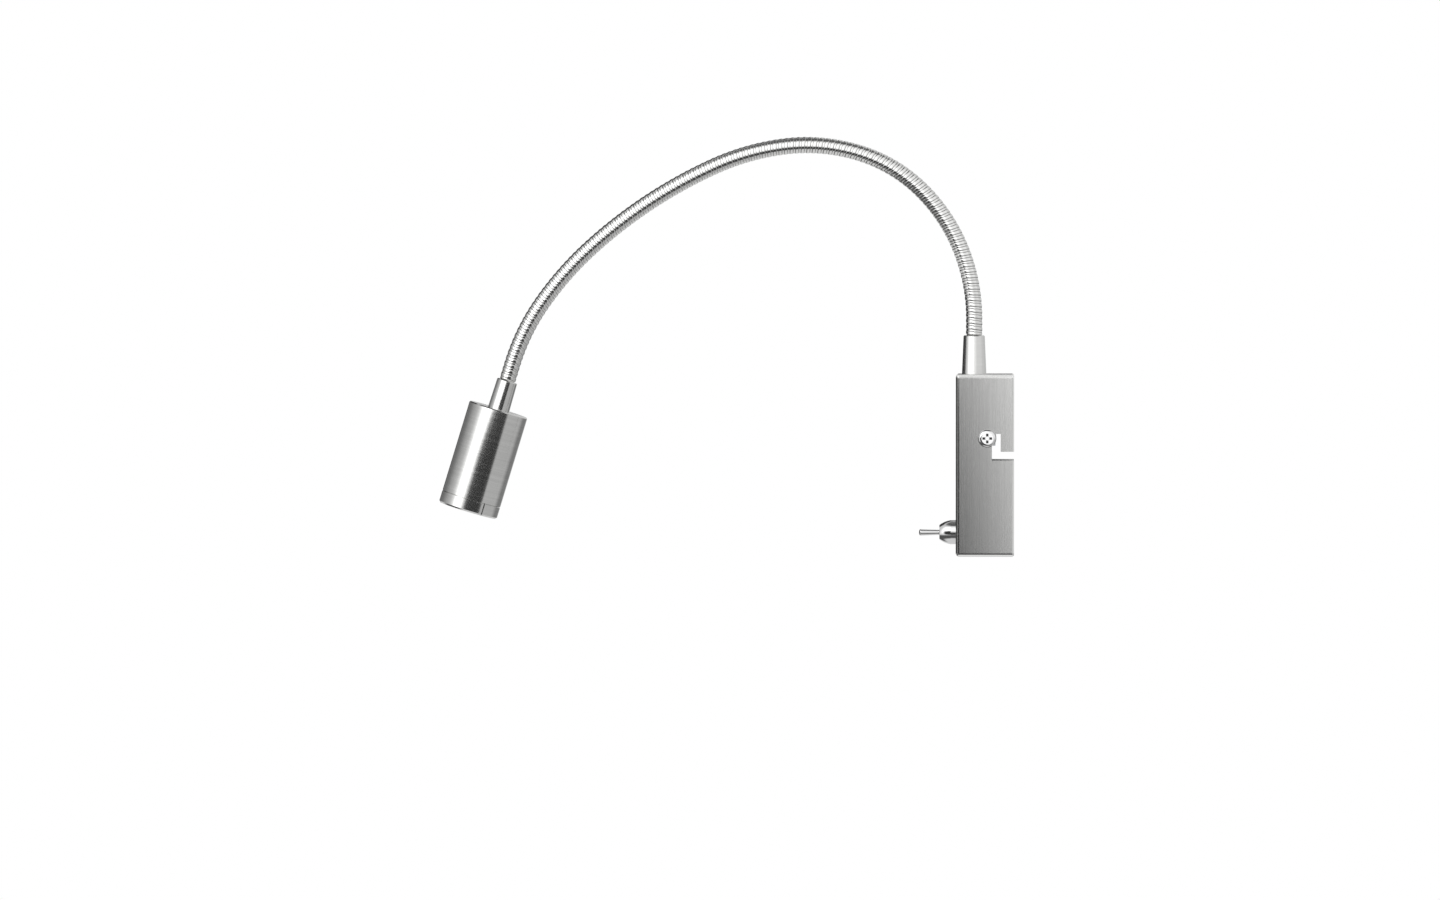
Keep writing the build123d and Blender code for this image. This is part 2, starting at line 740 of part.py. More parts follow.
def make_terminal_screws():
    bottom = block_way_y + wire_diameter / 2 + slip_gap
    screw = disc(block_screw_diameter, block_screw_length)
    half = block_screw_slot / 2
    screw -= block((-block_screw_diameter, block_screw_diameter), (-half, half), (0, block_screw_slot))
    turned = Rot(90, 0, 0) * screw
    return Compound([Pos(x, bottom + block_screw_length, z) * turned for x, z in block_screw_places()])


# Wires, each along straight runs joined by arcs
def wire(points):
    path = FilletPolyline(*points, radius=wire_bend)
    start = Plane(points[0], z_dir=Vector(points[1]) - Vector(points[0]))
    length = path.length
    solid = sweep(start * Circle(wire_diameter / 2), path=path)
    section = math.pi * wire_diameter ** 2 / 4
    print(f"wire {length:.1f} mm, volume over section times length {solid.volume / (section * length):.4f}")
    return solid


def make_live_wire():
    x = block_pole_spacing / 2
    turn_z = block_bottom - 2 * wire_drop
    return wire([
        (x, block_way_y, block_bottom + wire_grip),
        (x, block_way_y, turn_z),
        (terminal_lug_spacing, lug_tip_y + wire_standoff, switch_height),
        (terminal_lug_spacing, lug_tip_y, switch_height),
    ])


def make_switched_wire():
    x = -driver_inlet_spacing
    turn_z = driver_bottom - wire_drop
    return wire([
        (0, lug_tip_y, switch_height),
        (0, lug_tip_y + wire_standoff, switch_height),
        (x, lug_tip_y + wire_standoff, turn_z),
        (x, driver_inlet_y, turn_z),
        (x, driver_inlet_y, driver_bottom + wire_grip),
    ])


def make_neutral_wire():
    x = -2 * driver_inlet_spacing
    turn_z = driver_bottom - wire_drop
    return wire([
        (-block_pole_spacing / 2, block_way_y, block_bottom + wire_grip),
        (-block_pole_spacing / 2, block_way_y, block_bottom - wire_drop),
        (x, block_way_y - wire_standoff, turn_z),
        (x, driver_inlet_y, turn_z),
        (x, driver_inlet_y, driver_bottom + wire_grip),
    ])


pieces = {
    "housing": make_housing(),
    "wall_bracket": make_wall_bracket(),
    "clamp_screws": make_clamp_screws(),
    "clamp_nuts": make_clamp_nuts(),
    "cable_bush": make_cable_bush(),
    "base_ferrule": make_base_ferrule(),
    "ferrule_washer": make_ferrule_washer(),
    "ferrule_nut": make_ferrule_nut(),
    "driver_pad": make_driver_pad(),
    "driver_case": make_driver_case(),
    "driver_lid": make_driver_lid(),
    "driver_board": make_driver_board(),
    "driver_components": make_driver_components(),
    "terminal_pad": make_terminal_pad(),
    "terminal_block": make_terminal_block(),
    "terminal_screws": make_terminal_screws(),
    "live_wire": make_live_wire(),
    "switched_wire": make_switched_wire(),
    "neutral_wire": make_neutral_wire(),
    "neck_cable": make_neck_cable(),
}
pieces.update(make_neck())

head_pieces = {
    "head_ferrule": make_head_ferrule(),
    "head_washer": make_head_washer(),
    "head_nut": make_head_nut(),
    "head_body": make_head_body(),
    "heat_sink": make_heat_sink(),
    "led_board": make_led_board(),
    "led_emitter": make_led_emitter(),
    "board_screws": make_board_screws(),
    "lens_holder": make_lens_holder(),
    "lens": make_lens(),
    "glass_seal": make_glass_seal(),
    "front_glass": make_front_glass(),
    "front_ring": make_front_ring(),
}
pieces.update({name: head_plane * piece for name, piece in head_pieces.items()})

switch_pieces = {
    "switch_dome_nut": make_dome_nut(),
    "switch_bushing": make_bushing(),
    "switch_lock_washer": make_lock_washer(),
    "switch_hex_nut": make_switch_nut(),
    "switch_frame": make_switch_frame(),
    "switch_body": make_switch_body(),
    "switch_terminals": Compound(terminal_lugs(0.0)),
    "switch_lever": make_switch_lever(),
    "switch_rocker": make_switch_rocker(),
}
pieces.update({name: switch_plane * piece for name, piece in switch_pieces.items()})

os.makedirs("parts", exist_ok=True)
for name, piece in pieces.items():
    export_step(piece, f"parts/{name}.step")

# Places that the record and the scene repeat
rib_at_joint = end_ribs + tip_ribs + flex_ribs / 2
for number in range(1, len(neck_turns)):
    place = neck_plane(rib_at_joint * rib_pitch)
    print(f"neck joint {number}: at {place.origin}, heading {place.z_dir}")
    rib_at_joint += tube_ribs + flex_ribs
print(f"neck end: at {head_plane.origin}, heading {head_plane.z_dir}")
print(f"neck length {neck_length:.1f} mm, {rib_count} ribs")
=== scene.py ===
import math

import bpy
import numpy as np
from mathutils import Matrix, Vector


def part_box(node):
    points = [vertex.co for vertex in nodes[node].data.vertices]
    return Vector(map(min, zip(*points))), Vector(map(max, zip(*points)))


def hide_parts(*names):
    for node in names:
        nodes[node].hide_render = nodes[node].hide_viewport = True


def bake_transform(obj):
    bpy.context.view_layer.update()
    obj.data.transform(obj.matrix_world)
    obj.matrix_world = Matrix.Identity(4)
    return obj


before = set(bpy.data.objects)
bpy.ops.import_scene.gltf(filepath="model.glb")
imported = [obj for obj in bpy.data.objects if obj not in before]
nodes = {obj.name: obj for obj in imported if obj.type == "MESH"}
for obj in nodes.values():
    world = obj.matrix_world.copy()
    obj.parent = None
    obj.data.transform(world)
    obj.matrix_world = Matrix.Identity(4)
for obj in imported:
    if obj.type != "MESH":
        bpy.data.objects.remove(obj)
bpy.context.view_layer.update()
print("frame loaded:", len(nodes), "nodes")


def addObject(name, data):
    added = bpy.data.objects.new(name, data)
    bpy.context.scene.collection.objects.link(added)
    return added


# camera: almost square on to the lamp's side, with a long lens, a little high and to the wall's side
cameraSetup = {
    "aim": (0.0, -0.1469, 0.0073),  # middle of the photograph, in metres
    "swing": 1.6,  # degrees towards the wall
    "rise": 1.6,  # degrees above level
    "frameWidth": 0.72,  # metres that the picture's width covers at the lamp
    "distance": 5.0,
    "sensorWidth": 36.0,
}

cameraData = bpy.data.cameras.new("sideCamera")
cameraData.sensor_width = cameraSetup["sensorWidth"]
cameraData.lens = cameraSetup["sensorWidth"] * cameraSetup["distance"] / cameraSetup["frameWidth"]
camera = addObject("sideCamera", cameraData)
swing = math.radians(cameraSetup["swing"])
rise = math.radians(cameraSetup["rise"])
backward = np.array((math.cos(rise) * math.cos(swing), math.cos(rise) * math.sin(swing), math.sin(rise)))
camera.location = np.array(cameraSetup["aim"]) + cameraSetup["distance"] * backward
camera.rotation_euler = (math.pi / 2 - rise, 0, math.pi / 2 + swing)  # looks along -X with Z up
bpy.context.scene.camera = camera
bpy.context.scene.view_settings.view_transform = "Standard"
print("camera set, lens", round(cameraData.lens), "mm")


# an input may be a value or another node's output
def setInputs(tree, node, values):
    for name, value in values.items():
        if isinstance(value, bpy.types.NodeSocket):
            tree.links.new(value, node.inputs[name])
        else:
            node.inputs[name].default_value = value


def putNode(tree, kind, inputs=None, **settings):
    node = tree.nodes.new(kind)
    for name, value in settings.items():
        setattr(node, name, value)
    setInputs(tree, node, inputs or {})
    return node


# the same, for a node of which only the first output is wanted
def putFirst(tree, kind, inputs=None, **settings):
    return putNode(tree, kind, inputs, **settings).outputs[0]


def putMath(tree, operation, first, second=0.0, third=0.0):
    return putFirst(tree, "ShaderNodeMath", {0: first, 1: second, 2: third}, operation=operation)


def putVector(tree, operation, inputs, output="Vector"):
    return putNode(tree, "ShaderNodeVectorMath", inputs, operation=operation).outputs[output]


def putRange(tree, value, fromLow, fromHigh, toLow=0.0, toHigh=1.0, smooth=True):
    kind = "SMOOTHSTEP" if smooth else "LINEAR"
    return putFirst(tree, "ShaderNodeMapRange", {
        "Value": value, "From Min": fromLow, "From Max": fromHigh, "To Min": toLow, "To Max": toHigh,
    }, interpolation_type=kind)


def mixColours(tree, factor, first, second):
    return putNode(tree, "ShaderNodeMix", {0: factor, 6: first, 7: second}, data_type="RGBA").outputs[2]


def mixValues(tree, factor, first, second):
    return putFirst(tree, "ShaderNodeMix", {0: factor, 2: first, 3: second})


def mixShaders(tree, factor, first, second):
    return putFirst(tree, "ShaderNodeMixShader", {0: factor, 1: first, 2: second})


# first and second added up, each times its own share
def addShares(tree, first, second, shares):
    firstPart = putMath(tree, "MULTIPLY", first, shares[0])
    secondPart = putMath(tree, "MULTIPLY", second, shares[1])
    return putMath(tree, "ADD", firstPart, secondPart)


def splitVector(tree, vector):
    return putNode(tree, "ShaderNodeSeparateXYZ", {0: vector}).outputs


def joinVector(tree, **parts):
    return putFirst(tree, "ShaderNodeCombineXYZ", parts)


def lengthOf(tree, **parts):
    return putVector(tree, "LENGTH", {0: joinVector(tree, **parts)}, "Value")


def noiseOf(tree, vector, scale=1.0, detail=3.0, roughness=0.55):
    return putFirst(tree, "ShaderNodeTexNoise", {
        "Vector": vector, "Scale": scale, "Detail": detail, "Roughness": roughness})


# one for rays that come from the camera or through glass, nought for others
def seenRays(tree, path):
    return putMath(tree, "MAXIMUM", path["Is Camera Ray"], path["Is Transmission Ray"])


def emptyMaterial(name):
    material = bpy.data.materials.new(name)
    material.use_nodes = True
    material.node_tree.nodes.clear()
    return material, material.node_tree


def grey(level):
    return (level, level, level, 1.0)


def addPointValues(mesh, name, values):
    layer = mesh.attributes.new(name, "FLOAT", "POINT")
    layer.data.foreach_set("value", values.ravel().astype(np.float32))


# studio round the lamp: what polished metal mirrors, by direction in degrees from the camera's side
# right is positive across, up is positive in height; later areas lie over earlier ones
studio = {
    "base": 0.74,
    "diffuse": 0.72,
    "white": 1.0,
    "areas": (
        {"level": 0.52, "across": (30, 120), "height": (-80, -8), "soft": (14, 14)},
        {"level": 0.24, "across": (116, 168), "height": (-24, -2), "soft": (26, 10)},
        {"level": 0.16, "across": (-250, -98), "height": (5, 23), "soft": (100, 10)},
        {"level": 0.05, "across": (-250, -114), "height": (18, 54), "soft": (16, 10)},
        {"level": 0.04, "across": (-168, -91), "height": (-10, 6), "soft": (10, 6)},
        {"level": 1.00, "across": (8, 84), "height": (4, 58), "soft": (20, 16)},
        {"level": 0.12, "across": (-250, 250), "height": (62, 120), "soft": (14, 14)},
        {"level": 1.30, "across": (-66, 14), "height": (-16, 52), "soft": (34, 24)},
        {"level": 2.20, "across": (-56, -8), "height": (0, 40), "soft": (26, 22)},
        {"level": 0.10, "across": (-150, 40), "height": (-58, -26), "soft": (14, 14)},
    ),
}


# a smooth step up round the first end times a smooth step down round the second, each as wide as width
def softSpan(tree, angle, ends, width):
    low, high = ends
    enter = putRange(tree, angle, low - width / 2, low + width / 2)
    leave = putRange(tree, angle, high - width / 2, high + width / 2, 1.0, 0.0)
    return putMath(tree, "MULTIPLY", enter, leave)


# brightness by direction: each area is the product of a soft span across and one in height
def buildStudio(look):
    world = bpy.data.worlds.new("studio")
    bpy.context.scene.world = world
    world.use_nodes = True
    world.cycles.sampling_method = "NONE"  # each kind of ray then sees its own branch below
    tree = world.node_tree
    tree.nodes.clear()
    direction = splitVector(tree, putNode(tree, "ShaderNodeTexCoord").outputs["Generated"])
    across = putMath(tree, "DEGREES", putMath(tree, "ARCTAN2", direction["Y"], direction["X"]))
    height = putMath(tree, "DEGREES", putMath(tree, "ARCSINE", direction["Z"]))
    level = grey(look["base"])
    for area in look["areas"]:
        softAcross, softHeight = area["soft"]
        inAcross = softSpan(tree, across, area["across"], softAcross)
        inHeight = softSpan(tree, height, area["height"], softHeight)
        factor = putMath(tree, "MULTIPLY", inAcross, inHeight)
        level = mixColours(tree, factor, level, grey(area["level"]))
    path = putNode(tree, "ShaderNodeLightPath").outputs
    plain = putFirst(tree, "ShaderNodeBackground", {"Color": grey(look["diffuse"])})
    mirrored = putFirst(tree, "ShaderNodeBackground", {"Color": level})
    white = putFirst(tree, "ShaderNodeBackground", {"Color": grey(look["white"])})
    unseen = mixShaders(tree, path["Is Glossy Ray"], plain, mirrored)
    final = mixShaders(tree, seenRays(tree, path), unseen, white)
    putNode(tree, "ShaderNodeOutputWorld", {"Surface": final})


buildStudio(studio)


# soft lamp: place and size in metres, power in watts, turned to its target and not mirrored
topLamp = {
    "place": (0.9, -1.0, 1.2),
    "target": (0.0, -0.12, 0.0),
    "size": (0.9, 0.9),
    "power": 7.0,
}


def addLamp(name, look):
    data = bpy.data.lights.new(name, "AREA")
    data.shape = "RECTANGLE"
    data.size, data.size_y = look["size"]
    data.energy = look["power"]
    lamp = addObject(name, data)
    lamp.location = look["place"]
    toward = np.subtract(look["target"], look["place"])
    across = math.atan2(toward[1], toward[0])
    down = math.acos(-toward[2] / np.linalg.norm(toward))
    lamp.rotation_euler = (0.0, -down, across)
    lamp.visible_camera = False
    lamp.visible_glossy = False
    lamp.visible_transmission = False


addLamp("topLeft", topLamp)


# dark card in front of the lamp's lower left, which only reflections see: the band down the head and the
# housing's shade; its right edge leans out towards the bottom, and each edge fades over its soft width
darkCard = {
    "away": 0.30,  # from the lamp's middle towards the camera, in metres as the rest
    "left": -0.495,
    "rightBottom": 0.062,
    "rightTop": -0.033,
    "bottom": -0.21,
    "top": 0.052,
    "softLeft": 0.18,
    "softRight": 0.04,
    "softTop": 0.012,
    "softBottom": 0.07,
    "level": 0.05,  # brightness
    "samples": 64,
}


def smoothStep(way):
    way = np.clip(way, 0.0, 1.0)
    return way * way * (3 - 2 * way)


# grid from the left to the leaning right edge; cover is the product of four smooth steps in from the edges
def addCard(look):
    count = look["samples"]
    share = np.linspace(0.0, 1.0, count)
    rowHeight = look["bottom"] + (look["top"] - look["bottom"]) * share
    height = np.broadcast_to(rowHeight[:, None], (count, count))
    right = look["rightBottom"] + (look["rightTop"] - look["rightBottom"]) * share[:, None]
    across = look["left"] + (right - look["left"]) * share[None, :]
    cover = smoothStep((across - look["left"]) / look["softLeft"])
    cover = cover * smoothStep((right - across) / look["softRight"])
    cover = cover * smoothStep((look["top"] - height) / look["softTop"])
    cover = cover * smoothStep((height - look["bottom"]) / look["softBottom"])
    points = np.stack((np.full_like(height, look["away"]), across, height), axis=-1).reshape(-1, 3)
    row, column = np.meshgrid(np.arange(count - 1), np.arange(count - 1), indexing="ij")
    corner = (row * count + column).reshape(-1, 1)
    mesh = bpy.data.meshes.new("darkCard")
    mesh.from_pydata(points.tolist(), [], (corner + np.array((0, 1, count + 1, count))).tolist())
    addPointValues(mesh, "cover", cover)
    card = addObject("darkCard", mesh)
    material, tree = emptyMaterial("darkCard")
    glow = putFirst(tree, "ShaderNodeEmission", {"Color": grey(look["level"])})
    clear = putFirst(tree, "ShaderNodeBsdfTransparent")
    covered = putNode(tree, "ShaderNodeAttribute", attribute_name="cover").outputs["Fac"]
    putNode(tree, "ShaderNodeOutputMaterial", {"Surface": mixShaders(tree, covered, clear, glow)})
    mesh.materials.append(material)
    card.visible_camera = False
    card.visible_diffuse = False
    card.visible_transmission = False
    card.visible_shadow = False


addCard(darkCard)


# floor: pale and well below the lamp, which hangs on a wall
floorLook = {
    "height": -0.46,
    "halfWidth": 1.6,
    "colour": 0.86,
    "speckTone": 0.03,  # how much lighter the specks are
    "speckScale": 40.0,
    "speckDetail": 4.0,
    "speckRoughness": 0.5,
    "middle": (0.0, -0.12),
    "glow": 0.72,  # share of plain white in the middle
    "fade": (0.4, 1.5),  # metres from the middle over which it turns to plain white
}


def buildFloor(look):
    half = look["halfWidth"]
    corners = [(x * half, y * half, look["height"]) for x, y in ((-1, -1), (1, -1), (1, 1), (-1, 1))]
    mesh = bpy.data.meshes.new("floor")
    mesh.from_pydata(corners, [], [(0, 1, 2, 3)])
    floor = addObject("floor", mesh)
    material, tree = emptyMaterial("paleFloor")
    coords = putNode(tree, "ShaderNodeTexCoord").outputs["Object"]
    speck = noiseOf(tree, coords, look["speckScale"], look["speckDetail"], look["speckRoughness"])
    tone = mixColours(tree, speck, grey(look["colour"]), grey(look["colour"] + look["speckTone"]))
    matt = putFirst(tree, "ShaderNodeBsdfDiffuse", {"Color": tone})
    white = putFirst(tree, "ShaderNodeEmission", {"Color": grey(1.0)})
    away = putVector(tree, "DISTANCE", {0: coords, 1: (*look["middle"], look["height"])}, "Value")
    fade = putRange(tree, away, *look["fade"], look["glow"], 1.0)
    seen = seenRays(tree, putNode(tree, "ShaderNodeLightPath").outputs)
    above = mixShaders(tree, putMath(tree, "MULTIPLY", seen, fade), matt, white)
    under = putNode(tree, "ShaderNodeNewGeometry").outputs["Backfacing"]  # clear from below
    clear = putFirst(tree, "ShaderNodeBsdfTransparent")
    putNode(tree, "ShaderNodeOutputMaterial", {"Surface": mixShaders(tree, under, above, clear)})
    mesh.materials.append(material)
    floor.visible_glossy = False


buildFloor(floorLook)
print("studio, lamp and floor built")


# material with a Principled shader ready for use
def startMaterial(name):
    material, tree = emptyMaterial(name)
    shader = putNode(tree, "ShaderNodeBsdfPrincipled")
    putNode(tree, "ShaderNodeOutputMaterial", {"Surface": shader.outputs[0]})
    return material, tree, shader


def objectPlace(tree, centre=(0.0, 0.0, 0.0), turn=(0.0, 0.0, 0.0), scale=(1.0, 1.0, 1.0)):
    coords = putNode(tree, "ShaderNodeTexCoord").outputs["Object"]
    local = putFirst(tree, "ShaderNodeMapping", {"Vector": coords, "Location": centre, "Rotation": turn},
                     vector_type="TEXTURE")
    return putFirst(tree, "ShaderNodeMapping", {"Vector": local, "Scale": scale})


def bumpOf(tree, height, look):
    return putFirst(tree, "ShaderNodeBump", {
        "Strength": look["bump"], "Distance": look["bumpDepth"], "Height": height})


# noise keeps near its middle value, so these stretches of it are spread over the tones and the roughness
noiseSpans = {"tone": (0.32, 0.68), "polish": (0.3, 0.7)}


def polishOf(tree, noise, look):
    return putRange(tree, noise, *noiseSpans["polish"], *look["roughness"], smooth=False)


# colour from one spread below the look's own to one spread above it, as factor goes from nought to one
def tonesOf(tree, factor, look):
    low = tuple(max(0.0, part * (1 - look["spread"])) for part in look["colour"]) + (1.0,)
    high = tuple(min(1.0, part * (1 + look["spread"])) for part in look["colour"]) + (1.0,)
    return mixColours(tree, factor, low, high)


# housing: straight brushing, up the sides and the front and across the top and bottom
# each facing value is the stretch of a part of the normal over which one kind of place turns to another
housingLook = {
    "colour": (0.40, 0.40, 0.395), "spread": 0.10, "roughness": (0.20, 0.29),
    "anisotropy": 0.7, "anisotropyTurn": 0.25,
    "fineStreaks": 4200.0, "fineDrift": 30.0,  # waves per metre across the brushing and along it
    "wideStreaks": 1300.0, "wideDrift": 10.0, "wideDetail": 2.0,
    "streakShares": (0.65, 0.35),  # of the fine and the wide streaks
    "bump": 0.06, "bumpDepth": 0.00008,
    "flatFacing": (0.6, 0.8),  # to a flat top, bottom or side
    "edgeFacing": (0.84, 0.985),  # from a rubbed edge, lightened with a painted highlight, to a flat face
    # painted highlight: edges get a near-white colour; the added roughness is wear
    "edgeHighlightColour": (0.95, 0.95, 0.94, 1.0),
    "edgeRoughness": -0.06,  # what rubbing adds
    "scuffFacing": (0.4, 0.7),  # to an edge that faces up
    "scuffRoughness": 0.26, "topHighlightMetallic": -0.85,  # what scuffing adds there, and less metal, which with the near-white edge colour paints a white highlight on edges that face up
    "uprightFacing": (0.15, 0.4), "frontFacing": (-0.3, -0.1),
    "frontEdgeShadeColour": (0.18, 0.18, 0.175, 1.0),  # painted shade: the upright edges at the front are darkened
    # painted shade: the sides run from darker at the front to lighter at the wall, as the light falls on them
    "sideShadeRange": (0.84, 1.32),  # of the sides, from the front to the wall
    "front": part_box("housing")[0][1],
}


# streaks are noise that runs fast across the brushing and slowly along it
# an edge is where the largest part of the normal falls short of one
def brushedPlate(name, look):
    material, tree, shader = startMaterial(name)
    normal = splitVector(tree, putNode(tree, "ShaderNodeNewGeometry").outputs["Normal"])
    steepX, steepY, steepZ = [putMath(tree, "ABSOLUTE", normal[letter]) for letter in "XYZ"]
    onTop = putRange(tree, steepZ, *look["flatFacing"])
    onSide = putRange(tree, steepX, *look["flatFacing"])
    steepest = putMath(tree, "MAXIMUM", putMath(tree, "MAXIMUM", steepX, steepY), steepZ)
    # edges: rougher from rubbing and lightened with a painted highlight
    edgeWearAndHighlight = putRange(tree, steepest, *look["edgeFacing"], 1.0, 0.0)
    # edges that face up: rougher from scuffing, and a painted highlight from less metal under the near-white
    # edge colour
    scuffAndTopHighlight = putMath(tree, "MULTIPLY", edgeWearAndHighlight, putRange(tree, normal["Z"], *look["scuffFacing"]))
    # painted shade on the upright edges at the front
    upright = putRange(tree, steepZ, *look["uprightFacing"], 1.0, 0.0)
    toFront = putRange(tree, normal["Y"], *look["frontFacing"], 1.0, 0.0)
    frontEdgeShade = putMath(tree, "MULTIPLY", upright, toFront)

    fine, fineDrift = look["fineStreaks"], look["fineDrift"]
    wide, wideDrift = look["wideStreaks"], look["wideDrift"]
    upFine = noiseOf(tree, objectPlace(tree, scale=(fine, fine, fineDrift)))
    upWide = noiseOf(tree, objectPlace(tree, scale=(wide, wide, wideDrift)), detail=look["wideDetail"])
    topFine = noiseOf(tree, objectPlace(tree, scale=(fineDrift, fine, fine)))
    pattern = mixValues(tree, onTop, addShares(tree, upFine, upWide, look["streakShares"]), topFine)

    # painted shade across the sides, darker at the front and lighter towards the wall
    fromWall = splitVector(tree, objectPlace(tree))["Y"]
    sideShadeLevel = putRange(tree, fromWall, look["front"], 0.0, *look["sideShadeRange"], smooth=False)
    tone = putMath(tree, "MULTIPLY_ADD", onSide, putMath(tree, "SUBTRACT", sideShadeLevel, 1.0), 1.0)
    streakTone = tonesOf(tree, putRange(tree, pattern, *noiseSpans["tone"]), look)
    plate = putVector(tree, "SCALE", {0: streakTone, "Scale": tone})
    edge = mixColours(tree, frontEdgeShade, look["edgeHighlightColour"], look["frontEdgeShadeColour"])
    brushed = polishOf(tree, pattern, look)
    brushed = putMath(tree, "MULTIPLY_ADD", scuffAndTopHighlight, look["scuffRoughness"], brushed)
    brushing = {0: onTop, 4: (0.0, 0.0, 1.0), 5: (1.0, 0.0, 0.0)}  # up, or across on the top and bottom
    setInputs(tree, shader, {
        "Base Color": mixColours(tree, edgeWearAndHighlight, plate, edge),
        "Metallic": putMath(tree, "MULTIPLY_ADD", scuffAndTopHighlight, look["topHighlightMetallic"], 1.0),
        "Roughness": putMath(tree, "MULTIPLY_ADD", edgeWearAndHighlight, look["edgeRoughness"], brushed),
        "Anisotropic": look["anisotropy"], "Anisotropic Rotation": look["anisotropyTurn"],
        "Tangent": putNode(tree, "ShaderNodeMix", brushing, data_type="VECTOR").outputs[1],
        "Normal": bumpOf(tree, pattern, look),
    })
    return material


# head and ferrules: turned and brushed round their own axis, which goes through point, turned about X
headAxis = {"point": (0.0, -0.25330, 0.04196), "turn": math.radians(163.0)}  # from the neck's end
baseAxis = {"point": (0.0, -0.0199, 0.0455), "turn": 0.0}  # from the housing's top
headLook = {
    "colour": (0.72, 0.72, 0.71), "spread": 0.07, "roughness": (0.12, 0.19),
    "anisotropy": 0.7, "anisotropyTurn": 0.25,
    "fineRings": 5200.0, "wideRings": 800.0,  # waves per metre along the axis
    "ringDrift": 24.0,  # and round it
    "ringShares": (0.6, 0.4),  # of the fine and the wide rings
    "bump": 0.012, "bumpDepth": 0.00005,
    "axis": headAxis,
}
headFerruleLook = dict(headLook, roughness=(0.10, 0.18), anisotropy=0.4, spread=0.05, bump=0.01)
baseFerruleLook = dict(headFerruleLook, axis=baseAxis, roughness=(0.14, 0.24))


# rings round an axis: noise that runs fast with the height plus the radius and slowly with the place
# round the axis; the tangent is the axis crossed with the way from its point
def turnedMetal(name, look):
    material, tree, shader = startMaterial(name)
    point, turn = look["axis"]["point"], look["axis"]["turn"]
    parts = splitVector(tree, objectPlace(tree, point, (turn, 0.0, 0.0)))
    radius = lengthOf(tree, X=parts["X"], Y=parts["Y"])
    reach = putMath(tree, "ADD", parts["Z"], radius)
    slowX = putMath(tree, "MULTIPLY", parts["X"], look["ringDrift"])
    slowY = putMath(tree, "MULTIPLY", parts["Y"], look["ringDrift"])

    def rings(rate):
        return noiseOf(tree, joinVector(tree, X=slowX, Y=slowY, Z=putMath(tree, "MULTIPLY", reach, rate)))

    pattern = addShares(tree, rings(look["fineRings"]), rings(look["wideRings"]), look["ringShares"])
    coords = putNode(tree, "ShaderNodeTexCoord").outputs["Object"]
    fromPoint = putVector(tree, "SUBTRACT", {0: coords, 1: point})
    line = (0.0, -math.sin(turn), math.cos(turn))
    around = putVector(tree, "CROSS_PRODUCT", {0: line, 1: fromPoint})
    tangent = putFirst(tree, "ShaderNodeVectorTransform", {0: around},
                       vector_type="VECTOR", convert_from="OBJECT", convert_to="WORLD")
    setInputs(tree, shader, {
        "Base Color": tonesOf(tree, putRange(tree, pattern, *noiseSpans["tone"]), look), "Metallic": 1.0,
        "Roughness": polishOf(tree, pattern, look),
        "Anisotropic": look["anisotropy"], "Anisotropic Rotation": look["anisotropyTurn"], "Tangent": tangent,
        "Normal": bumpOf(tree, pattern, look),
    })
    return material


# polished and plain metals: faint hairlines, so many to a metre, and a cloudy polish
metalBase = {
    "spread": 0.05, "bumpDepth": 0.00005,
    "hairTurn": (0.4, 0.7, 0.3), "hairStretch": (1.0, 0.06, 1.0), "hairDetail": 2.0,
    "cloudSize": 6, "cloudDetail": 4.0,  # a cloud is so many times as wide as a hairline
}
metalLooks = {
    "screwChrome": {"colour": (0.78, 0.78, 0.78), "roughness": (0.07, 0.14), "hairs": 3000.0, "bump": 0.02},
    "zincSteel": {"colour": (0.62, 0.64, 0.66), "roughness": (0.24, 0.40), "hairs": 1500.0, "bump": 0.06},
    "brass": {"colour": (0.72, 0.54, 0.25), "roughness": (0.22, 0.36), "hairs": 1800.0, "bump": 0.05},
    "sinkAluminium": {"colour": (0.74, 0.75, 0.76), "roughness": (0.30, 0.44), "hairs": 1200.0, "bump": 0.06},
}


def plainMetal(name, ownLook):
    look = dict(metalBase, **ownLook)
    material, tree, shader = startMaterial(name)
    cloud = noiseOf(tree, objectPlace(tree), look["hairs"] / look["cloudSize"], look["cloudDetail"])
    drawn = objectPlace(tree, turn=look["hairTurn"], scale=look["hairStretch"])
    hair = noiseOf(tree, drawn, look["hairs"], look["hairDetail"])
    setInputs(tree, shader, {
        "Base Color": tonesOf(tree, cloud, look), "Metallic": 1.0,
        "Roughness": polishOf(tree, cloud, look),
        "Normal": bumpOf(tree, hair, look),
    })
    return material


# clamp screws: chrome like the rest, with painted shade, dull and dark, out in the arms of their cross
# recess, in metres
recessShadeLook = {
    # painted shade for the recess
    "colour": (0.05, 0.05, 0.05, 1.0), "roughness": 0.35,
    "depth": (0.0002, 0.0006),  # below the top of the head
    "fromAxis": (0.0007, 0.0014), "reach": 0.0026,
}


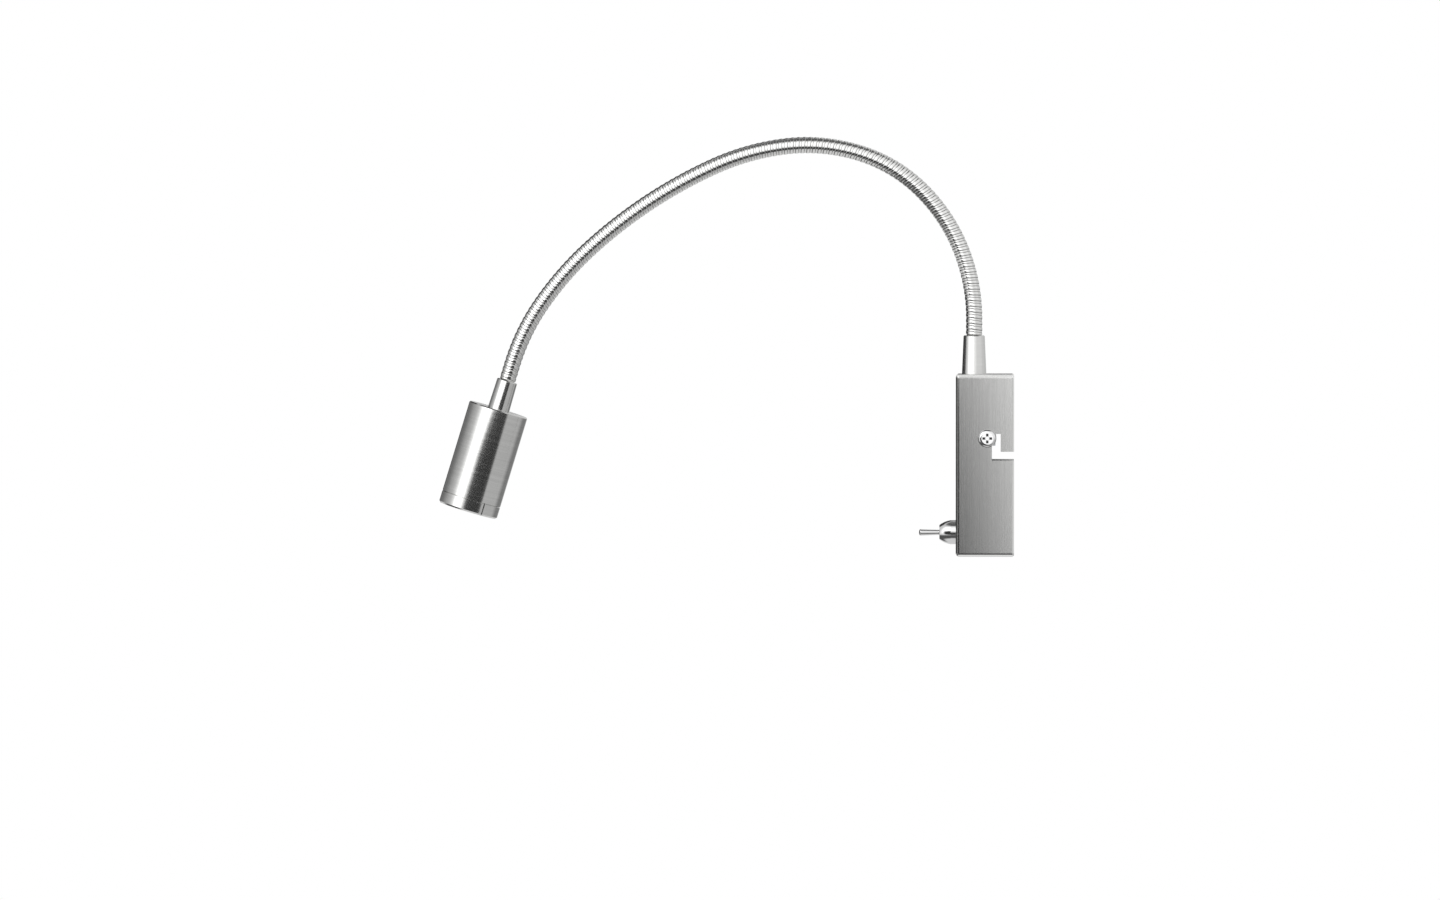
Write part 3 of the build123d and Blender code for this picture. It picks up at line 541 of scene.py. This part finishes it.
# painted shade grows with the depth below the nearer end of the box and with the distance from the axis, up
# to reach
def screwWithRecessShade(name, look, recess, box):
    material = plainMetal(name, look)
    tree = material.node_tree
    shader = next(node for node in tree.nodes if node.type == "BSDF_PRINCIPLED")
    low, high = np.array(box)
    middle = (low + high) / 2
    parts = splitVector(tree, objectPlace(tree, centre=tuple(middle)))
    fromMiddle = putMath(tree, "ABSOLUTE", parts["X"])
    depth = putMath(tree, "SUBTRACT", float(high[0] - middle[0]), fromMiddle)
    radius = lengthOf(tree, Y=parts["Y"], Z=parts["Z"])
    deep = putRange(tree, depth, *recess["depth"])
    inArms = putRange(tree, radius, *recess["fromAxis"])
    recessShade = putMath(tree, "MULTIPLY", deep, inArms)
    recessShade = putMath(tree, "MULTIPLY", recessShade, putMath(tree, "LESS_THAN", radius, recess["reach"]))
    colour = shader.inputs["Base Color"].links[0].from_socket
    roughness = shader.inputs["Roughness"].links[0].from_socket
    setInputs(tree, shader, {
        "Base Color": mixColours(tree, recessShade, colour, recess["colour"]),
        "Roughness": mixValues(tree, recessShade, roughness, recess["roughness"]),
    })
    return material


# moulded and coated pieces: fine grain in the surface and a slight change of tone
mouldedBase = {
    "spread": 0.10, "bumpDepth": 0.00006,
    "cloudSize": 12,  # a cloud is so many times as wide as a grain
}
mouldedLooks = {
    "blackPlastic": {"colour": (0.025, 0.025, 0.027), "roughness": (0.40, 0.56), "grain": 2400.0,
                     "bump": 0.20},
    "whitePlastic": {"colour": (0.78, 0.78, 0.75), "roughness": (0.36, 0.50), "grain": 2000.0, "bump": 0.15},
    "switchBlue": {"colour": (0.03, 0.10, 0.36), "roughness": (0.32, 0.46), "grain": 2200.0, "bump": 0.15},
    "blackRubber": {"colour": (0.03, 0.03, 0.03), "roughness": (0.66, 0.82), "grain": 1500.0, "bump": 0.30},
    "greyFoam": {"colour": (0.30, 0.30, 0.31), "roughness": (0.82, 0.95), "grain": 1100.0, "bump": 0.80},
    "boardGreen": {"colour": (0.03, 0.22, 0.09), "roughness": (0.28, 0.42), "grain": 900.0, "bump": 0.20},
    "boardWhite": {"colour": (0.86, 0.86, 0.84), "roughness": (0.35, 0.48), "grain": 900.0, "bump": 0.12},
    "componentYellow": {"colour": (0.75, 0.55, 0.08), "roughness": (0.34, 0.50), "grain": 1600.0,
                        "bump": 0.20},
    "emitterYellow": {"colour": (0.85, 0.66, 0.12), "roughness": (0.18, 0.30), "grain": 4000.0, "bump": 0.08},
    "wireBrown": {"colour": (0.16, 0.06, 0.025), "roughness": (0.36, 0.50), "grain": 1500.0, "bump": 0.10},
    "wireBlack": {"colour": (0.02, 0.02, 0.02), "roughness": (0.36, 0.50), "grain": 1500.0, "bump": 0.10},
    "wireBlue": {"colour": (0.02, 0.11, 0.40), "roughness": (0.36, 0.50), "grain": 1500.0, "bump": 0.10},
    "cableSheath": {"colour": (0.75, 0.75, 0.73), "roughness": (0.40, 0.55), "grain": 1500.0, "bump": 0.12},
}


def mouldedFinish(name, ownLook):
    look = dict(mouldedBase, **ownLook)
    material, tree, shader = startMaterial(name)
    place = objectPlace(tree)
    grain = noiseOf(tree, place, look["grain"])
    cloud = noiseOf(tree, place, look["grain"] / look["cloudSize"])
    setInputs(tree, shader, {
        "Base Color": tonesOf(tree, cloud, look),
        "Roughness": polishOf(tree, grain, look),
        "Normal": bumpOf(tree, grain, look),
    })
    return material


# clear pieces in front of the light, with faint smears
clearBase = {"smearScale": 160.0, "smearSpan": (0.35, 0.7)}
clearLooks = {
    "clearLens": {"colour": (0.96, 0.97, 0.97, 1.0), "ior": 1.49, "roughness": (0.02, 0.06)},
    "clearGlass": {"colour": (0.95, 0.97, 0.96, 1.0), "ior": 1.52, "roughness": (0.0, 0.03)},
}


def clearFinish(name, ownLook):
    look = dict(clearBase, **ownLook)
    material, tree, shader = startMaterial(name)
    smear = noiseOf(tree, objectPlace(tree), look["smearScale"])
    setInputs(tree, shader, {
        "Base Color": look["colour"], "IOR": look["ior"], "Transmission Weight": 1.0,
        "Roughness": putRange(tree, smear, *look["smearSpan"], *look["roughness"]),
    })
    return material


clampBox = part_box("clamp_screws")
finishes = {
    "housingMetal": brushedPlate("housingMetal", housingLook),
    "headMetal": turnedMetal("headMetal", headLook),
    "headFerruleMetal": turnedMetal("headFerruleMetal", headFerruleLook),
    "baseFerruleMetal": turnedMetal("baseFerruleMetal", baseFerruleLook),
    "clampChromeRecessShade": screwWithRecessShade("clampChromeRecessShade", metalLooks["screwChrome"], recessShadeLook, clampBox),
}
finishKinds = ((plainMetal, metalLooks), (mouldedFinish, mouldedLooks), (clearFinish, clearLooks))
for makeFinish, looks in finishKinds:
    for finishName, finishLook in looks.items():
        finishes[finishName] = makeFinish(finishName, finishLook)
print("finishes built:", len(finishes))


# which finish each carried-over piece gets
dressing = {
    "housingMetal": ("housing",),
    "headMetal": ("head_body", "front_ring"),
    "headFerruleMetal": ("head_ferrule",),
    "baseFerruleMetal": ("base_ferrule",),
    "clampChromeRecessShade": ("clamp_screws",),
    "screwChrome": ("switch_dome_nut", "switch_lever"),
    "zincSteel": ("wall_bracket", "clamp_nuts", "ferrule_washer", "ferrule_nut", "head_washer", "head_nut",
                  "switch_lock_washer", "switch_hex_nut", "switch_frame", "board_screws", "terminal_screws"),
    "brass": ("switch_bushing", "switch_rocker", "switch_terminals"),
    "sinkAluminium": ("heat_sink",),
    "blackPlastic": ("driver_lid", "lens_holder"),
    "whitePlastic": ("driver_case", "terminal_block"),
    "switchBlue": ("switch_body",),
    "blackRubber": ("cable_bush", "glass_seal"),
    "greyFoam": ("driver_pad", "terminal_pad"),
    "boardGreen": ("driver_board",),
    "boardWhite": ("led_board",),
    "componentYellow": ("driver_components",),
    "emitterYellow": ("led_emitter",),
    "clearLens": ("lens",),
    "clearGlass": ("front_glass",),
    "wireBrown": ("live_wire",),
    "wireBlack": ("switched_wire",),
    "wireBlue": ("neutral_wire",),
}
for finishName, nodeNames in dressing.items():
    for nodeName in nodeNames:
        mesh = nodes[nodeName].data
        mesh.materials.clear()
        mesh.materials.append(finishes[finishName])
print("carried-over pieces dressed")


# neck: a wound strip with a flat crown and a narrow groove, in metres, bent as the lamp is in the photograph
neckShape = {
    "ribPitch": 0.00287,
    "crestRadius": 0.0041,
    "fillerRadius": 0.00392,  # crest of the thin strip that fills the gap between two turns
    "grooveRadius": 0.0038,
    "tailRadius": 0.00355,
    "boreRadius": 0.0025,
    "crestShare": 0.62,  # of the pitch that the main strip takes
    "crownPower": 5.0,  # a higher power gives a flatter crown and a narrower groove
    "shadePower": 4,  # a higher power keeps the shade closer to the groove
    "tailLength": 0.009,
    "tailRibs": 0.2,  # ribs over which the winding runs out into its tail
    "endRibs": 3, "tipRibs": 10, "tubeRibs": 10, "flexRibs": 3,
    "turns": (20.5, 24.5, 28.0, 24.0, 17.5, 9.0, 9.0, 13.0, 17.5),  # degrees
    "start": (-0.0199, 0.0647),  # Y and Z
    "samplesPerRib": 24, "boreSamplesPerRib": 1, "samplesAround": 48,
    "bendRibs": 6.5,  # ribs each side of a joint that share its bend
}


# all the values before each one, added up
def sumBefore(values):
    return np.concatenate(([0.0], np.cumsum(values)[:-1]))


ribPitch = neckShape["ribPitch"]
turnCount = len(neckShape["turns"])
tipRun = (neckShape["tipRibs"] + neckShape["flexRibs"] / 2) * ribPitch
tubeRun = (neckShape["tubeRibs"] + neckShape["flexRibs"]) * ribPitch
endRun = neckShape["endRibs"] * ribPitch
runLengths = np.array([endRun, tipRun] + [tubeRun] * (turnCount - 2) + [tipRun, endRun])
runTurns = np.radians((0.0,) + neckShape["turns"] + (0.0,))
runStarts = sumBefore(runLengths)
neckLength = runLengths.sum()


# centreline of steady bends: within a run, the chord is the step
# times the sine of half the bend over half the bend
def neckLine(along):
    along = np.atleast_1d(np.asarray(along, float))
    headings = np.pi / 2 + sumBefore(runTurns)
    chords = runLengths * np.sinc(runTurns / (2 * np.pi))
    startY = neckShape["start"][0] + sumBefore(chords * np.cos(headings + runTurns / 2))
    startZ = neckShape["start"][1] + sumBefore(chords * np.sin(headings + runTurns / 2))
    run = np.clip(np.searchsorted(runStarts, along, side="right") - 1, 0, len(runLengths) - 1)
    step = along - runStarts[run]
    bend = runTurns[run] * step / runLengths[run]
    chord = step * np.sinc(bend / (2 * np.pi))
    y = startY[run] + chord * np.cos(headings[run] + bend / 2)
    z = startZ[run] + chord * np.sin(headings[run] + bend / 2)
    return np.stack((np.zeros_like(y), y, z), axis=1), headings[run] + bend


# points round the centreline: centre plus radius
# times (cosine of the turn sideways, sine of it in the bend's plane)
def ringsAlong(along, around, radius):
    centre, heading = neckLine(along)
    sideways = np.array((1.0, 0.0, 0.0))
    inPlane = np.stack((np.zeros_like(heading), -np.sin(heading), np.cos(heading)), axis=1)
    spoke = np.cos(around)[None, :, None] * sideways + np.sin(around)[None, :, None] * inPlane[:, None, :]
    return (centre[:, None, :] + radius[:, :, None] * spoke).reshape(-1, 3)


# radius of the winding: two strips side by side in each pitch, each of them
# the groove plus the crown's height times the root of one less a power of the way from its middle
def windingRadius(along, around):
    turnShare = along[:, None] / ribPitch - around[None, :] / (2 * np.pi)
    turnShare = turnShare - np.floor(turnShare)
    split = neckShape["crestShare"]
    onMain = turnShare < split
    way = np.where(onMain, turnShare / split, (turnShare - split) / (1 - split))
    fromCrown = np.abs(2 * way - 1)
    crest = np.where(onMain, neckShape["crestRadius"], neckShape["fillerRadius"])
    crown = np.sqrt(np.maximum(0.0, 1 - fromCrown ** neckShape["crownPower"]))
    wound = neckShape["grooveRadius"] + (crest - neckShape["grooveRadius"]) * crown
    fromEnd = np.minimum(along, neckLength - along)
    inside = np.clip(fromEnd / (neckShape["tailRibs"] * ribPitch), 0.0, 1.0)[:, None]
    radius = neckShape["tailRadius"] + (wound - neckShape["tailRadius"]) * inside
    return radius, fromCrown ** neckShape["shadePower"] * inside


def anglesAround(columns):
    return np.arange(columns) * 2 * np.pi / columns


# places along a stretch, so many to a rib
def stepsAlong(low, high, samplesPerRib):
    return np.linspace(low, high, int(round((high - low) / ribPitch * samplesPerRib)) + 1)


# quads of a grid that closes round, row by row, facing out or in
def gridFaces(rows, columns, first=0, outward=True):
    row, column = np.meshgrid(np.arange(rows - 1), np.arange(columns), indexing="ij")
    after = (column + 1) % columns
    near, far = first + row * columns, first + (row + 1) * columns
    quads = np.stack((near + column, far + column, far + after, near + after), axis=-1).reshape(-1, 4)
    return quads if outward else quads[:, ::-1]


# quads between an outer and an inner ring of points
def ringFaces(outer, inner, columns, atStart):
    column = np.arange(columns)
    after = (column + 1) % columns
    quads = np.stack((outer + column, outer + after, inner + after, inner + column), axis=-1)
    return quads if atStart else quads[:, ::-1]


# triangles between a ring of points and the one in its middle
def capFaces(ring, middle, columns, atStart):
    column = np.arange(columns)
    after = (column + 1) % columns
    near, far = (column, after) if atStart else (after, column)
    return np.stack((ring + near, ring + far, np.full(columns, middle)), axis=1)


def makePiece(name, points, faces, material, wrap=None, groove=None):
    mesh = bpy.data.meshes.new(name)
    mesh.from_pydata(points.tolist(), [], faces)
    mesh.polygons.foreach_set("use_smooth", np.ones(len(mesh.polygons), bool))
    if wrap is not None:
        corner = np.zeros(len(mesh.loops), np.int32)
        mesh.loops.foreach_get("vertex_index", corner)
        layer = mesh.uv_layers.new(name="wrap")
        layer.data.foreach_set("uv", wrap[corner].astype(np.float32).ravel())
    if groove is not None:
        addPointValues(mesh, "grooveShade", groove)
    mesh.materials.append(material)
    mesh.update()
    return addObject(name, mesh)


# winding's finish: bright strip with hairlines along it, duller down in the groove, with painted shade
# darkening it there
windingLook = {
    "colour": (0.80, 0.80, 0.79), "spread": 0.05, "roughness": (0.07, 0.16),
    "hairScale": (3.0, 22.0, 1.0), "cloudScale": (2.0, 0.8, 1.0),  # per half turn and per rib
    "grooveShadeColour": (0.20, 0.20, 0.195, 1.0),
    "grooveRoughness": 0.25,  # what the groove adds
    "bump": 0.02, "bumpDepth": 0.00003,
}


def windingMetal(name, look):
    material, tree, shader = startMaterial(name)
    # painted shade: the grooveShade attribute darkens the groove
    groove = putNode(tree, "ShaderNodeAttribute", attribute_name="grooveShade").outputs["Fac"]
    wrap = putFirst(tree, "ShaderNodeUVMap", uv_map="wrap")
    hair = noiseOf(tree, putFirst(tree, "ShaderNodeMapping", {"Vector": wrap, "Scale": look["hairScale"]}))
    cloud = noiseOf(tree, putFirst(tree, "ShaderNodeMapping", {"Vector": wrap, "Scale": look["cloudScale"]}))
    polish = polishOf(tree, hair, look)
    setInputs(tree, shader, {
        "Base Color": mixColours(tree, groove, tonesOf(tree, cloud, look), look["grooveShadeColour"]),
        "Metallic": 1.0,
        "Roughness": putMath(tree, "MULTIPLY_ADD", groove, look["grooveRoughness"], polish),
        "Normal": bumpOf(tree, hair, look),
    })
    return material


finishes["windingChrome"] = windingMetal("windingChrome", windingLook)


# outside of the winding, the bore within it and a ring of faces at each end
def makeWinding(name, low, high):
    columns = neckShape["samplesAround"]
    around = anglesAround(columns)
    along = stepsAlong(low, high, neckShape["samplesPerRib"])
    boreAlong = stepsAlong(low, high, neckShape["boreSamplesPerRib"])
    rows, boreRows = len(along), len(boreAlong)
    radius, groove = windingRadius(along, around)
    outside = ringsAlong(along, around, radius)
    bore = ringsAlong(boreAlong, around, np.full((boreRows, columns), neckShape["boreRadius"]))
    boreFirst = rows * columns
    quads = np.concatenate((
        gridFaces(rows, columns), gridFaces(boreRows, columns, boreFirst, outward=False),
        ringFaces(0, boreFirst, columns, True),
        ringFaces(boreFirst - columns, boreFirst + (boreRows - 1) * columns, columns, False)))
    wrapV = np.concatenate((np.repeat(along, columns), np.repeat(boreAlong, columns))) / ribPitch
    wrapU = np.tile(np.abs(around / np.pi - 1), rows + boreRows)  # there and back, so that it closes
    grooveAll = np.concatenate((groove.ravel(), np.zeros(boreRows * columns)))
    return makePiece(name, np.concatenate((outside, bore)), quads.tolist(), finishes["windingChrome"],
                     np.stack((wrapU, wrapV), axis=1), grooveAll)


# lead: start and end are measured along the neck's centreline
leadShape = {"radius": 0.0016, "samplesAround": 16, "samplesPerRib": 3, "start": -0.0681, "end": 0.3903}


# round lead on the neck's centreline, closed by triangles at each end
def makeLead(name, low, high):
    columns = leadShape["samplesAround"]
    along = stepsAlong(low, high, leadShape["samplesPerRib"])
    rows = len(along)
    skin = ringsAlong(along, anglesAround(columns), np.full((rows, columns), leadShape["radius"]))
    middles = neckLine((low, high))[0]
    middleFirst = rows * columns
    caps = np.concatenate((
        capFaces(0, middleFirst, columns, True),
        capFaces(middleFirst - columns, middleFirst + 1, columns, False)))
    faces = gridFaces(rows, columns).tolist() + caps.tolist()
    return makePiece(name, np.concatenate((skin, middles)), faces, finishes["cableSheath"])


firstJointRib = neckShape["endRibs"] + neckShape["tipRibs"] + neckShape["flexRibs"] / 2
stretchRibs = neckShape["tubeRibs"] + neckShape["flexRibs"]
for number in range(1, turnCount):
    first = number == 1
    last = number == turnCount - 1
    jointRib = firstJointRib + (number - 1) * stretchRibs
    low = -neckShape["tailLength"] if first else (jointRib - stretchRibs / 2) * ribPitch
    high = neckLength + neckShape["tailLength"] if last else (jointRib + stretchRibs / 2) * ribPitch

    winding = makeWinding(f"neckWinding{number}", low, high)
    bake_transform(winding)
    covered = [f"neck_tube_{number}", f"neck_flex_{number}"] + ([f"neck_tube_{number + 1}"] if last else [])
    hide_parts(*covered)

    leadLow = leadShape["start"] if first else low
    leadHigh = leadShape["end"] if last else high
    lead = makeLead(f"neckLead{number}", leadLow, leadHigh)
    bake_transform(lead)
    if first:
        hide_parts("neck_cable")
print("neck wound and its lead drawn in")
